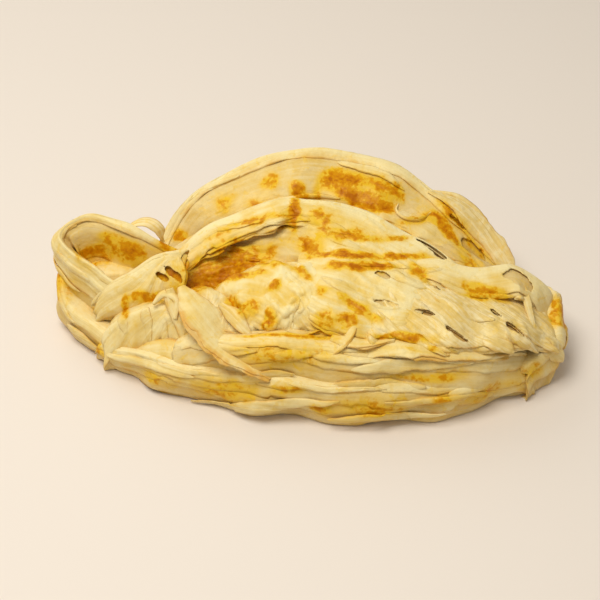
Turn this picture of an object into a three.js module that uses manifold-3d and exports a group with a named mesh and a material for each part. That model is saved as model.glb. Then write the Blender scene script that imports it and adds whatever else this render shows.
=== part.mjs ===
// A flaky layered flatbread, crushed after frying into a loose heap of folds, flaps and torn flakes.
// Millimetres, +Z up. X runs along the heap, Y from its front to its back, and Z = 0 is what it lies on.
import * as THREE from "three";
import { mergeVertices } from "three/addons/utils/BufferGeometryUtils.js";
import Module from "manifold-3d";

// Driving sizes that the whole heap shares.
const MIDDLE = [1.5, 24.2]; // the middle of the heap's outline, which becomes the origin
const BUNDLE = 4.4; // thickness of the few layers that stay together in one fold
const STRIP = 3.2; // thickness of a torn strip or flake
const HEM_SHARE = 0.5; // a sheet's thickness at its hems, as a share of its thickness at the crest
const HANG = 0.45; // how much of a fold's drop lies above its belly
const TRIM = { width: 400, depth: 60 }; // the block that cuts the foot flat
const PARTING = 0.02; // how far surfaces that only touch are drawn apart
const UP = new THREE.Vector3(0, 0, 1);

// The pressed middle of the heap, in lumps: a mound is a squarish dome standing on its foot.
const MOUNDS = [
  { centre: [6, 20], foot: [86, 50], top: 37, squareness: 2.6, lumps: 7, lumpDepth: 1.6, steps: [28, 7] },
  { centre: [-74, 22], foot: [26, 20], top: 24, squareness: 2.2, lumps: 5, lumpDepth: 1.2, steps: [14, 5] },
];

// The dark hollow behind the hood, scooped out of the mound.
const HOLLOW = { centre: [-31, 25, 44], radii: [22, 15, 22], steps: [14, 8] };

// A fold is a sheet hung over a crest line, seen along which its front is on the right. Reach is how far out
// a hem lies, drop how far below the crest, round how wide the crest is, and belly how far the sheet bulges
// past its hem. Pinch scales both sides at the crest's two ends, droop is how far those ends curl down, and
// the ripples run out towards the hems.
const FOLDS = [
  {
    name: "back arch",
    crest: [[-62, 55, 20], [-49, 68, 40], [-10, 81, 54], [36, 77, 53], [66, 62, 42], [93, 41, 20]],
    front: { reach: 26, drop: 17, round: 4, belly: 0 },
    back: { reach: 1, drop: 52, round: 3, belly: 8 },
    pinch: [0.45, 0.45],
    ripple: { count: 5, depth: 1.2 },
    steps: [18, 3, 3],
  },
  {
    name: "ridge lip",
    crest: [[-55, 31, 35], [-43, 37, 44], [-28, 43, 50], [-5, 48, 54.5], [14, 45.4, 53.8]],
    front: { reach: 17, drop: 4, round: 9, belly: 0 },
    back: { reach: 9, drop: 24, round: 3, belly: 0 },
    pinch: [0.6, 0.6],
    ripple: { count: 3.5, depth: 1.6 },
    steps: [12, 2, 3],
  },
  {
    name: "centre sheet",
    crest: [[-6, 44, 53.5], [14, 44, 54], [40, 35, 50], [64, 26, 41]],
    front: { reach: 66, drop: 18, round: 22, belly: 2 },
    back: { reach: 9, drop: 24, round: 4, belly: 0 },
    pinch: [0.5, 0.8],
    droop: [13, 0],
    ripple: { count: 2.5, depth: 1.3 },
    steps: [11, 2, 6],
  },
  {
    name: "blistered pad",
    crest: [[-39, 4, 25], [-29, 12, 37], [-12, 15, 43], [8, 10, 43], [25, -5, 37]],
    front: { reach: 29, drop: 16, round: 16, belly: 1 },
    back: { reach: 9, drop: 13, round: 6, belly: 0 },
    pinch: [0.45, 0.6],
    ripple: { count: 2, depth: 1.2 },
    steps: [10, 2, 4],
  },
  {
    name: "right fold",
    crest: [[30, 17, 42], [54, 17, 46], [74, 14, 43], [94, 17, 41], [106, 13, 27]],
    front: { reach: 14, drop: 7, round: 6, belly: 1 },
    back: { reach: 7, drop: 20, round: 3, belly: 0 },
    pinch: [0.4, 0.8],
    ripple: { count: 3, depth: 1 },
    steps: [12, 2, 3],
  },
  {
    name: "right fan",
    crest: [[18, 10, 41], [50, 8, 42], [80, 9, 37], [104, 13, 25]],
    front: { reach: 36, drop: 12, round: 14, belly: 2 },
    back: { reach: 6, drop: 12, round: 4, belly: 0 },
    pinch: [0.9, 0.6],
    ripple: { count: 4, depth: 1.6 },
    steps: [11, 1, 4],
  },
  {
    name: "right end",
    crest: [[92, -18, 18], [106, -3, 22], [108, 13, 26], [97, 33, 22]],
    front: { reach: 2, drop: 26, round: 3, belly: 5 },
    back: { reach: 12, drop: 4, round: 6, belly: 0 },
    pinch: [0.8, 0.8],
    ripple: { count: 4, depth: 1.2 },
    steps: [8, 2, 3],
  },
  {
    name: "pocket far wall",
    crest: [[-104, 38, 44], [-91, 43, 50], [-76, 39, 49], [-62, 34, 43], [-48, 33, 34]],
    front: { reach: 9, drop: 26, round: 2, belly: 0 },
    back: { reach: 2, drop: 46, round: 3, belly: 5 },
    pinch: [0.75, 0.7],
    ripple: { count: 3, depth: 1 },
    steps: [12, 3, 3],
  },
  {
    name: "pocket near wall",
    crest: [[-105, 40, 45], [-100, 34, 42], [-91, 26, 37], [-80, 19, 32], [-66, 16, 31]],
    front: { reach: 6, drop: 34, round: 4, belly: 6 },
    back: { reach: 8, drop: 16, round: 3, belly: 0 },
    pinch: [0.8, 0.8],
    ripple: { count: 2, depth: 1 },
    steps: [9, 2, 3],
  },
  {
    name: "hood",
    crest: [[-86, 18, 29], [-73, 20, 38], [-59, 22, 45.5], [-47, 20, 50]],
    front: { reach: 12, drop: 21, round: 3, belly: 2 },
    back: { reach: 2, drop: 26, round: 2, belly: 0 },
    pinch: [0.4, 1],
    ripple: { count: 2, depth: 1.1 },
    steps: [9, 2, 4],
  },
  {
    name: "fold below the hood",
    crest: [[-82, 4, 18], [-68, 4, 28], [-55, 3, 31], [-46, -5, 24]],
    front: { reach: 7, drop: 27, round: 4, belly: 4 },
    back: { reach: 9, drop: 3, round: 4, belly: 0 },
    pinch: [0.7, 0.8],
    ripple: { count: 3, depth: 1.6 },
    steps: [9, 1, 3],
  },
  {
    name: "upper front side",
    crest: [[-52, -10, 24], [-14, -19, 33], [30, -23, 33], [66, -22, 29], [94, -10, 20]],
    front: { reach: 7, drop: 26, round: 3, belly: 7 },
    back: { reach: 10, drop: 2, round: 6, belly: 0 },
    pinch: [0.8, 0.8],
    ripple: { count: 4, depth: 2 },
    steps: [14, 1, 3],
  },
  {
    name: "lower front side",
    crest: [[-86, 6, 10], [-72, -5, 14], [-42, -20, 18], [10, -31, 20], [60, -29, 18], [98, -8, 13]],
    front: { reach: 3, drop: 22, round: 3, belly: 6 },
    back: { reach: 12, drop: 2, round: 6, belly: 0 },
    pinch: [0.4, 0.7],
    ripple: { count: 5, depth: 2.2 },
    steps: [14, 1, 3],
  },
  {
    name: "lower back side",
    crest: [[96, 34, 14], [60, 62, 24], [5, 78, 27], [-48, 64, 22], [-88, 42, 18]],
    front: { reach: 2, drop: 30, round: 3, belly: 7 },
    back: { reach: 12, drop: 2, round: 5, belly: 0 },
    pinch: [0.8, 0.8],
    ripple: { count: 4.5, depth: 2.4 },
    steps: [14, 1, 3],
  },
  {
    name: "left side",
    crest: [[-92, 44, 26], [-103, 34, 24], [-97, 20, 16], [-78, 2, 14]],
    front: { reach: 0, drop: 28, round: 3, belly: 5 },
    back: { reach: 10, drop: 2, round: 5, belly: 0 },
    pinch: [0.9, 0.8],
    ripple: { count: 4, depth: 1 },
    steps: [9, 1, 3],
  },
];

// A strip follows a line of places, and turns about it by twist, in degrees, from one end to the other.
const STRIPS = [
  { name: "wide strip", path: [[-50, 9, 43], [-42, -6, 37], [-28, -17, 29], [-12, -23, 20]], width: 14, twist: [20, -35] },
  { name: "thin strip", path: [[-56, 8, 41], [-52, -4, 32], [-46, -11, 18]], width: 9, twist: [0, 30] },
  { name: "standing loop", path: [[-60, 38, 38], [-53, 42, 48], [-45, 40, 47], [-43, 38, 32]], width: 6, twist: [10, 60] },
  { name: "twisted strip", path: [[32, -12, 38], [24, -21, 35], [12, -28, 27]], width: 7, twist: [0, 80] },
  { name: "right hem", path: [[18, -24, 30], [42, -25, 33], [64, -24, 30], [86, -15, 22]], width: 9, twist: [30, 10] },
];
const STRIP_STEPS = [8, 1];

// Torn flakes start along the right fold and point towards the front, each lying on the last. A heading is in
// degrees from +X, and each flake's own length, width and lift are drawn between the two values.
const FAN = {
  roots: [[38, 3, 42.5], [84, 13, 37]],
  headings: [-66, -24],
  count: 7,
  reach: [23, 34],
  width: [13, 19],
  lift: [1, 3],
  fall: 11,
};
const FLAKE_STEPS = [5, 2];

// A repeatable draw between 0 and 1.
function drawsFrom(seed) {
  let state = seed;
  return () => {
    state = (Math.imul(state, 1664525) + 1013904223) >>> 0;
    return state / 4294967296;
  };
}

function smoothLine(places) {
  const points = places.map((place) => new THREE.Vector3(...place));
  return new THREE.CatmullRomCurve3(points, false, "centripetal");
}

function bezier(a, b, c, d, t) {
  const s = 1 - t;
  return s * s * s * a + 3 * s * s * t * b + 3 * s * t * t * c + t * t * t * d;
}

// An uneven wave between about -1 and 1, from two sines that don't keep step.
function unevenWave(turns) {
  return 0.65 * Math.sin(2 * Math.PI * turns) + 0.35 * Math.sin(2 * Math.PI * 1.73 * turns + 1.3);
}

function signedPower(value, power) {
  return Math.sign(value) * Math.abs(value) ** power;
}

const wasm = await Module();
wasm.setup();

// A closed geometry as a solid that can be joined and cut.
function solidOf(geometry) {
  const bare = geometry.clone();
  bare.deleteAttribute("normal");
  bare.deleteAttribute("uv");
  const merged = mergeVertices(bare, 1e-4);
  const mesh = new wasm.Mesh({
    numProp: 3,
    vertProperties: merged.attributes.position.array,
    triVerts: new Uint32Array(merged.index.array),
  });
  return new wasm.Manifold(mesh);
}

// A sheet's solid. placeAt(u, v) is its upper face, with u and v from 0 to 1, and thickAt(u, v) its thickness.
function sheetSolid(placeAt, thickAt, [across, down]) {
  const columns = across + 1;
  const upper = [];
  const lower = [];
  const delta = 0.01;
  for (let j = 0; j <= down; j++) {
    for (let i = 0; i <= across; i++) {
      const [u, v] = [i / across, j / down];
      const place = placeAt(u, v);
      const alongU = placeAt(Math.min(u + delta, 1), v).sub(placeAt(Math.max(u - delta, 0), v));
      const alongV = placeAt(u, Math.min(v + delta, 1)).sub(placeAt(u, Math.max(v - delta, 0)));
      const outward = alongV.cross(alongU).normalize();
      upper.push(...place);
      lower.push(...place.addScaledVector(outward, -thickAt(u, v)));
    }
  }
  const faces = Array.from(new THREE.PlaneGeometry(1, 1, across, down).index.array);
  const below = columns * (down + 1);
  const closed = [...faces];
  for (let k = 0; k < faces.length; k += 3) closed.push(faces[k] + below, faces[k + 2] + below, faces[k + 1] + below);
  const rim = [];
  for (let i = 0; i < across; i++) rim.push(i);
  for (let j = 0; j < down; j++) rim.push(j * columns + across);
  for (let i = across; i > 0; i--) rim.push(down * columns + i);
  for (let j = down; j > 0; j--) rim.push(j * columns);
  rim.forEach((here, k) => {
    const next = rim[(k + 1) % rim.length];
    closed.push(here, next, next + below, here, next + below, here + below);
  });
  const geometry = new THREE.BufferGeometry();
  geometry.setAttribute("position", new THREE.Float32BufferAttribute([...upper, ...lower], 3));
  geometry.setIndex(closed);
  return solidOf(geometry);
}

// A mound from a sphere, its level outline a squarish oval with lumps, and its lower half pressed into the foot.
function moundSolid(mound) {
  const sphere = new THREE.SphereGeometry(1, ...mound.steps).rotateX(Math.PI / 2);
  const position = sphere.attributes.position;
  const power = 2 / mound.squareness;
  for (let i = 0; i < position.count; i++) {
    const [x, y, z] = [position.getX(i), position.getY(i), position.getZ(i)];
    const level = Math.hypot(x, y);
    const angle = Math.atan2(y, x);
    const bulge = 1 + (mound.lumpDepth / mound.foot[1]) * Math.sin(mound.lumps * angle);
    position.setXYZ(
      i,
      mound.centre[0] + mound.foot[0] * bulge * signedPower(Math.cos(angle), power) * level ** power,
      mound.centre[1] + mound.foot[1] * bulge * signedPower(Math.sin(angle), power) * level ** power,
      z > 0 ? mound.top * z : z * 2,
    );
  }
  return solidOf(sphere);
}

function foldSolid(fold) {
  const crest = smoothLine(fold.crest);
  const droop = fold.droop ?? [0, 0];
  const [across, backSteps, frontSteps] = fold.steps;
  const crestAt = backSteps / (backSteps + frontSteps);
  const hemShare = (v) => (v < crestAt ? 1 - v / crestAt : (v - crestAt) / (1 - crestAt));
  const placeAt = (u, v) => {
    const run = crest.getTangentAt(u);
    const out = new THREE.Vector3(run.y, -run.x, 0).normalize();
    const [side, sign] = v < crestAt ? [fold.back, -1] : [fold.front, 1];
    const t = hemShare(v);
    const size = 1 - (1 - fold.pinch[0]) * (1 - u) ** 3 - (1 - fold.pinch[1]) * u ** 3;
    const level = bezier(0, side.round, side.reach + side.belly, side.reach, t) * size;
    const curl = droop[0] * (1 - u) ** 4 + droop[1] * u ** 4;
    const fall = bezier(0, 0, side.drop * HANG, side.drop, t) * size + curl;
    const wave = fold.ripple.depth * t * unevenWave(fold.ripple.count * (u + 0.08 * sign * t));
    return crest.getPointAt(u).addScaledVector(out, sign * level + wave).addScaledVector(UP, wave * 0.7 - fall);
  };
  const thickAt = (u, v) => BUNDLE * (1 - (1 - HEM_SHARE) * hemShare(v) ** 3);
  return sheetSolid(placeAt, thickAt, [across, backSteps + frontSteps]);
}

function stripSolid(strip) {
  const path = smoothLine(strip.path);
  const [from, to] = strip.twist.map(THREE.MathUtils.degToRad);
  const placeAt = (u, v) => {
    const run = path.getTangentAt(u);
    const side = new THREE.Vector3(run.y, -run.x, 0).normalize();
    side.applyAxisAngle(run, THREE.MathUtils.lerp(from, to, u));
    const width = strip.width * (0.55 + 0.45 * Math.sin(Math.PI * u));
    return path.getPointAt(u).addScaledVector(side, (v - 0.5) * width);
  };
  return sheetSolid(placeAt, () => STRIP, STRIP_STEPS);
}

// One flake of the fan: a pointed leaf that leaves its root and droops to its tip.
function flakeSolid(index, draw) {
  const share = (index + 0.6 * (draw() - 0.5)) / (FAN.count - 1);
  const heading = THREE.MathUtils.degToRad(THREE.MathUtils.lerp(...FAN.headings, share));
  const [reach, width, lift] = [FAN.reach, FAN.width, FAN.lift].map(([low, high]) => low + (high - low) * draw());
  const root = new THREE.Vector3(...FAN.roots[0]).lerp(new THREE.Vector3(...FAN.roots[1]), share);
  const out = new THREE.Vector3(Math.cos(heading), Math.sin(heading), 0);
  const side = new THREE.Vector3(out.y, -out.x, 0);
  const placeAt = (u, v) => {
    const leaf = width * (0.3 + 0.7 * Math.sin(Math.PI * u ** 0.8)) * (v - 0.5);
    const height = lift * Math.sin(Math.PI * u) - FAN.fall * u * u + 2 * (1 - (2 * v - 1) ** 2);
    return root.clone().addScaledVector(out, reach * u).addScaledVector(side, leaf).addScaledVector(UP, height);
  };
  return sheetSolid(placeAt, () => STRIP, FLAKE_STEPS);
}

// The mounds as one solid, with the hollow scooped out of it.
function coreSolid() {
  const bowl = new THREE.SphereGeometry(1, ...HOLLOW.steps).rotateX(Math.PI / 2);
  bowl.scale(...HOLLOW.radii).translate(...HOLLOW.centre);
  const mounds = MOUNDS.map(moundSolid).reduce((whole, mound) => whole.add(mound));
  return mounds.subtract(solidOf(bowl));
}

// Everything joined, its sealed hollows filled and any loose scrap dropped, and its foot cut flat.
function breadSolid() {
  const draw = drawsFrom(7);
  const flakes = Array.from({ length: FAN.count }, (_, index) => flakeSolid(index, draw));
  const pieces = [coreSolid(), ...FOLDS.map(foldSolid), ...STRIPS.map(stripSolid), ...flakes];
  const joined = pieces.reduce((whole, piece) => whole.add(piece));
  const block = new THREE.BoxGeometry(TRIM.width, TRIM.width, TRIM.depth).translate(0, 0, -TRIM.depth / 2);
  const bodies = joined.subtract(solidOf(block)).decompose();
  return bodies.sort((a, b) => b.volume() - a.volume())[0];
}

// Draws back each corner that only touches another one, towards the middle of its own neighbours.
function partTouching(geometry) {
  const position = geometry.attributes.position;
  const index = geometry.index.array;
  const corners = Array.from({ length: position.count }, (_, i) => new THREE.Vector3().fromBufferAttribute(position, i));
  const keys = corners.map((corner) => corner.toArray().map((value) => value.toFixed(3)).join());
  const shared = new Set(keys.filter((key, i) => keys.indexOf(key) !== i));
  corners.forEach((corner, i) => {
    if (!shared.has(keys[i])) return;
    const middle = new THREE.Vector3();
    let neighbours = 0;
    for (let k = 0; k < index.length; k++) {
      if (index[k] !== i) continue;
      const first = k - (k % 3);
      middle.add(corners[index[first + ((k + 1) % 3)]]).add(corners[index[first + ((k + 2) % 3)]]);
      neighbours += 2;
    }
    const drawn = middle.divideScalar(neighbours).sub(corner).setLength(PARTING).add(corner);
    position.setXYZ(i, ...drawn);
  });
  return geometry;
}

function geometryOf(solid) {
  const mesh = solid.getMesh();
  const geometry = new THREE.BufferGeometry();
  geometry.setAttribute("position", new THREE.BufferAttribute(mesh.vertProperties, 3));
  geometry.setIndex(new THREE.BufferAttribute(mesh.triVerts, 1));
  partTouching(geometry).computeVertexNormals();
  return geometry;
}

const bread = new THREE.MeshStandardMaterial({ color: 0xf0d391, roughness: 0.55, metalness: 0 });
const paratha = new THREE.Mesh(geometryOf(breadSolid()), bread);
paratha.name = "paratha";
paratha.position.set(-MIDDLE[0], -MIDDLE[1], 0);

const heap = new THREE.Group();
heap.add(paratha);
export default heap;
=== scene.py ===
"""Looks of a flaky layered flatbread, crushed after frying into a loose heap.

The heap is a pressed core with sheets of dough hung over crest lines. Each sheet is a few thin layers, whose
hems stand back one behind the other. Creases, torn scraps, slits and browned marks follow the sheets. Raised
places carry a painted highlight, and what lies low in the heap, in the hollow and in slits, painted shade.
"""
from __future__ import annotations

import logging
import math
from collections.abc import Callable, Iterable, Iterator
from dataclasses import dataclass
from enum import Enum
from functools import cached_property

import bmesh
import bpy
import numpy as np
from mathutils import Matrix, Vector


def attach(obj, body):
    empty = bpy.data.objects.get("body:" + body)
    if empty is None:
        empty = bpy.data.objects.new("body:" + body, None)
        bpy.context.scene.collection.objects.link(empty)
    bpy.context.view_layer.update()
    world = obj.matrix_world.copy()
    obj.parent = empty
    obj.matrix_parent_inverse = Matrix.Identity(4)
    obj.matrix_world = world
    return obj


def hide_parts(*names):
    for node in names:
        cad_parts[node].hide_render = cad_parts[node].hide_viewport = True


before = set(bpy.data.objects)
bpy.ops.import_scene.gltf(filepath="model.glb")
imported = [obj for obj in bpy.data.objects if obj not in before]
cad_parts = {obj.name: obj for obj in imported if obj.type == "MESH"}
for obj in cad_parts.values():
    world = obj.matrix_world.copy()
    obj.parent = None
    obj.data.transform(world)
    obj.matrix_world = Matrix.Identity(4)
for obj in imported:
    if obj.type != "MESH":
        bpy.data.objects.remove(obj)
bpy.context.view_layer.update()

logging.basicConfig(level=logging.INFO, format="%(message)s")
log = logging.getLogger("flatbread")

Array = np.ndarray
Pair = tuple[float, float]
Triple = tuple[float, float, float]
Socket = bpy.types.NodeSocket

MM = 0.001
NODE = "paratha"
MIDDLE = (1.5, 24.2)  # middle of the heap's outline, which is the frame's origin, in millimetres
BUNDLE = 3.0  # thickness of the layers that stay together in one fold, in millimetres
HANG = 0.45  # how much of a fold's drop lies above its belly
FLOOR_GAP = 0.25  # height of the lowest layer above the surface that the bread lies on, in millimetres
GATHER_RADIUS = 22.0  # distance from the gathering place at which gathered creases have their own width
RIM_PASSES = 4  # how often the rim of a slit is smoothed
DOUGH_SEED, MARK_SEED, CORE_SEED = 5, 90, 50


class Mask(Enum):
    """Names of the values that the meshes carry for the finish."""

    BROWN_AND_SHADE = "toast"
    EDGE = "edge"
    # Painted shade: a darker tone on layers and parts that lie low in the heap.
    DEPTH_SHADE = "inner"
    # Painted highlight: paler where a sheet stands up and along each crest.
    RIDGE_HIGHLIGHT = "ridge"
    THIN = "thin"
    ALONG = "along"
    ACROSS = "across"


def bezier(start: float, near: float, far: float, end: float, t: Array) -> Array:
    """Value at t of the cubic curve with these four controls."""
    s = 1 - t
    return s**3 * start + 3 * s * s * t * near + 3 * s * t * t * far + t**3 * end


def step(low: float, high: float, value: Array) -> Array:
    """Smooth rise from 0 at low to 1 at high."""
    t = np.clip((value - low) / (high - low), 0, 1)
    return t * t * (3 - 2 * t)


def uneven_wave(turns: Array) -> Array:
    """Wave between about -1 and 1, from two sines that don't keep step."""
    return 0.65 * np.sin(2 * np.pi * turns) + 0.35 * np.sin(2 * np.pi * 1.73 * turns + 1.3)


def unit(vectors: Array) -> Array:
    """Vectors of a last axis of three, brought to length one."""
    return vectors / np.maximum(np.linalg.norm(vectors, axis=-1, keepdims=True), 1e-9)


def turned(along: Array, across: Array, degrees: float) -> tuple[Array, Array]:
    """Distances along and across a direction that is turned by so many degrees."""
    cosine, sine = math.cos(math.radians(degrees)), math.sin(math.radians(degrees))
    return along * cosine + across * sine, across * cosine - along * sine


def grid(across: int, down: int) -> tuple[Array, Array]:
    """Shares from 0 to 1 along the columns and the rows of a grid of cells."""
    return np.meshgrid(np.linspace(0, 1, across + 1), np.linspace(0, 1, down + 1))


class LatticeNoise:
    """Seeded gradient noise that works on whole arrays of places."""

    SIZE = 256

    def __init__(self, seed: int) -> None:
        """Draw the lattice that a seed fixes."""
        draw = np.random.default_rng(seed)
        self.order = np.concatenate([draw.permutation(self.SIZE)] * 2)
        self.slopes = unit(draw.normal(size=(self.SIZE, 3)))

    def at(self, x: Array, y: Array, z: Array | float = 0.0) -> Array:
        """Noise at places given in cells of the lattice.

        Args:
            x: First coordinates.
            y: Second coordinates, of the same shape.
            z: Third coordinates, or one value for all.

        Returns:
            Values between about -1 and 1.
        """
        x, y, z = np.broadcast_arrays(x, y, z)
        cells = [np.floor(axis).astype(np.int64) for axis in (x, y, z)]
        parts = [axis - cell for axis, cell in zip((x, y, z), cells)]
        fades = [part**3 * (part * (part * 6 - 15) + 10) for part in parts]
        total = np.zeros(x.shape)
        for corner in range(8):
            shift = (corner & 1, corner >> 1 & 1, corner >> 2 & 1)
            key = np.zeros(x.shape, np.int64)
            weight = np.ones(x.shape)
            for cell, fade, one in zip(cells, fades, shift):
                key = self.order[key + ((cell + one) & (self.SIZE - 1))]
                weight = weight * (fade if one else 1 - fade)
            slope = self.slopes[key]
            total += weight * sum(slope[..., k] * (parts[k] - shift[k]) for k in range(3))
        return total * 1.7


class Crest:
    """Smooth line through a few places, in millimetres, walked by its length."""

    SAMPLES = 60

    def __init__(self, places: tuple[Triple, ...]) -> None:
        """Sample the line that passes through the places in order."""
        given = np.array(places, float)
        ends = 2 * given[[0, -1]] - given[[1, -2]]
        points = np.vstack([ends[:1], given, ends[1:]])
        steps = np.linalg.norm(np.diff(points, axis=0), axis=1) ** 0.5
        line = [given[:1]]
        weights = np.linspace(0, 1, self.SAMPLES + 1)[1:, None]
        for k in range(1, len(points) - 2):
            before, here, after, beyond = points[k - 1:k + 3]
            first, middle, last = steps[k - 1:k + 2]
            leave = (here - before) / first - (after - before) / (first + middle) + (after - here) / middle
            arrive = (after - here) / middle - (beyond - here) / (middle + last) + (beyond - after) / last
            leave, arrive = leave * middle, arrive * middle
            cubic = 2 * here - 2 * after + leave + arrive
            square = -3 * here + 3 * after - 2 * leave - arrive
            line.append(here + leave * weights + square * weights**2 + cubic * weights**3)
        self.line = np.vstack(line)
        run = np.concatenate([[0], np.cumsum(np.linalg.norm(np.diff(self.line, axis=0), axis=1))])
        self.length = float(run[-1])
        self.share = run / self.length

    def at(self, u: Array) -> Array:
        """Places at shares u of the length, in a last axis of three."""
        return np.stack([np.interp(u, self.share, self.line[:, k]) for k in range(3)], axis=-1)

    def run(self, u: Array) -> Array:
        """Unit directions of the line at shares u of its length."""
        delta = 0.01
        return unit(self.at(np.minimum(u + delta, 1)) - self.at(np.maximum(u - delta, 0)))

    def out(self, u: Array) -> Array:
        """Unit directions that leave the line level and to its right."""
        run = self.run(u)
        return unit(np.stack([run[..., 1], -run[..., 0], np.zeros(u.shape)], axis=-1))


@dataclass(frozen=True)
class Side:
    """How one side of a fold hangs from its crest, in millimetres."""

    reach: float
    drop: float
    round: float
    belly: float = 0.0

    def length(self) -> float:
        """Rough length of the side from crest to hem."""
        return math.hypot(self.reach + self.belly, self.drop) + 0.3 * self.round


@dataclass(frozen=True)
class Slit:
    """A hole with pointed ends, torn through the upper layers of a sheet.

    Place is the share of the crest and the distance in front of it in millimetres, size the half length along
    and across the crest, and turn the angle between the two.
    """

    place: Pair
    size: Pair
    turn: float = 0.0
    layers: int = 1


@dataclass(frozen=True)
class Creases:
    """Creases of a sheet: their depth, length and width in millimetres, and how they run.

    Turn is their angle to the crest. Where gather is given, they meet instead at that share of the crest and
    that distance in front of it.
    """

    depth: float = 0.7
    length: float = 60.0
    width: float = 8.0
    turn: float = 0.0
    gather: Pair | None = None
    shingle: float = 0.45
    wrinkle: float = 0.0
    blister: float = 0.0


@dataclass(frozen=True)
class Scraps:
    """Torn partial layers that lie on a sheet: how many, their sizes, turn and the seed of their places."""

    count: int
    length: Pair = (14, 34)
    width: Pair = (4, 9)
    turn: float = 0.0
    lift: float = 0.4
    seed: int = 1


@dataclass(frozen=True)
class Fold:
    """A sheet hung over a crest line, seen along which its front is on the right.

    Pinch scales both sides at the crest's two ends, and ripple is the count and the depth of the waves along
    it. Curl is how far the two ends roll down, and droop how far they sink away from the crest. Slant is how
    far they move along at the front hem, and steady how much all of the sheet hangs in one direction, from 0
    to 1, where the crest bends. Hems says how far each layer, the outermost first, reaches to the back and to
    the front, as shares of the two sides. Ragged is how far the hems wander, thin how much of the sheet is a
    single film, whose darker tone is partly painted shade seen through it, inner how much painted shade
    it gets for lying low in the heap, from 0 to 1, and cell the size of the mesh cells. Scraps lie on its
    front, and back_scraps on its back. Lengths are in millimetres.
    """

    name: str
    crest: tuple[Triple, ...]
    front: Side
    back: Side
    pinch: Pair
    ripple: Pair
    hems: tuple[Pair, ...]
    creases: Creases = Creases()
    curl: Pair = (4.5, 4.5)
    droop: Pair = (0.0, 0.0)
    slant: Pair = (0.0, 0.0)
    steady: float = 0.0
    ragged: float = 1.0
    thin: float = 0.2
    inner: float = 0.0
    cell: float = 0.8
    slits: tuple[Slit, ...] = ()
    scraps: Scraps | None = None
    back_scraps: Scraps | None = None


@dataclass(frozen=True)
class BrownAndShadeMark:
    """A place browned or in painted shade: its middle, half sizes along, across and upright, heading and
    strength.
    """

    place: Triple
    size: Triple
    heading: float = 0.0
    strength: float = 1.0


@dataclass(frozen=True)
class Strip:
    """A torn strip that follows a line of places, turned about it from one angle to another.

    Taper is the width of its two ends, as shares of its full width.
    """

    name: str
    path: tuple[Triple, ...]
    width: float
    twist: Pair
    layers: int = 2
    camber: float = 0.6
    taper: Pair = (0.5, 0.5)
    thin: float = 0.2
    toast: float = 0.5


@dataclass(frozen=True)
class Mound:
    """A squarish dome that stands on its foot."""

    centre: Pair
    foot: Pair
    top: float
    squareness: float
    lumps: int
    lump_depth: float
    # painted shade on the dome, from 0 to 1
    inner: float = 1.0


def marks(*rows: tuple) -> tuple[BrownAndShadeMark, ...]:
    """Browned places and places of painted shade, from rows of middle, half sizes, heading and strength."""
    return tuple(BrownAndShadeMark(*row) for row in rows)


ARCH_MARKS = marks(
    ((-33, 62, 41), (3.5, 3.5, 6), 0, 0.5), ((-20, 61, 44), (3.5, 3, 6), 0, 0.35),
    ((-13, 69, 47), (2.6, 3, 6), 0, 0.8), ((0, 62, 49), (3.4, 2.2, 6), -28, 0.95),
    ((4, 57, 50), (4, 1.8, 6), -50, 0.7), ((7.5, 59, 50), (1.6, 5, 6), 0, 0.8),
    ((13, 67, 49), (2.8, 3, 6), 0, 0.9), ((21, 69, 49), (6.5, 3, 6), -12, 0.9),
    ((21, 62, 47), (4.5, 2.2, 6), -24, 0.95), ((27, 59, 44), (5.5, 2.6, 6), -25, 1.0),
    ((34, 66, 48), (2.8, 2.6, 6), 0, 0.8), ((36, 58, 43), (3.8, 2.2, 6), -30, 0.9),
    ((41, 63, 47), (2.8, 2.6, 6), 0, 0.85), ((51, 53, 42), (6, 2, 6), 20, 0.7),
    ((61, 54, 37), (4.4, 2, 7), -56, 0.85), ((65, 49, 32), (6.5, 2, 8), -47, 0.85),
    ((70, 55, 36), (5, 1.6, 8), -35, 0.5), ((64, 59, 42), (4.2, 1, 6), -42, 0.5),
    ((78, 47, 28), (8, 1.4, 8), -38, 0.4), ((-18, 57, 42), (5, 2, 6), 10, 0.45),
)

CENTRE_MARKS = marks(
    ((-2.5, 42, 53), (1.5, 5.5, 8), 0, 0.95), ((-14, 37, 50), (12, 1.9, 4), 2, 0.6),
    ((-36, 33, 47), (8, 1.8, 6), 20, 0.35), ((8, 36, 54), (2.6, 2.6, 6), 0, 0.55),
    ((17, 28, 51), (9, 2.2, 6), -5, 0.65), ((18, 35, 50), (16, 4, 6), -14, 0.22),
    ((5, 24, 49), (4.5, 2.4, 7), -30, 0.8), ((41, 28, 48), (4, 1.3, 6), 7, 0.6),
    ((13, 18.5, 50), (10, 1.4, 6), -8, 0.85), ((24, 16.5, 50), (8, 1.4, 6), -4, 0.95),
    ((42, 18, 47), (11, 1.4, 6), 6, 0.95), ((17, 11, 49), (6, 1.5, 6), -7, 0.75),
    ((29, 11, 49), (9, 1.5, 6), 3, 0.95), ((9, -1, 47), (2.2, 2.2, 6), 0, 0.55),
    ((24, -9, 42), (7.5, 1.7, 7), -35, 0.8), ((20, -14, 40), (2.4, 2.4, 6), 0, 0.75),
    ((10.5, -14, 38.5), (5, 3, 7), 0, 0.45), ((27, 26.5, 50), (8, 1.3, 6), 0, 0.45),
)

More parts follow.
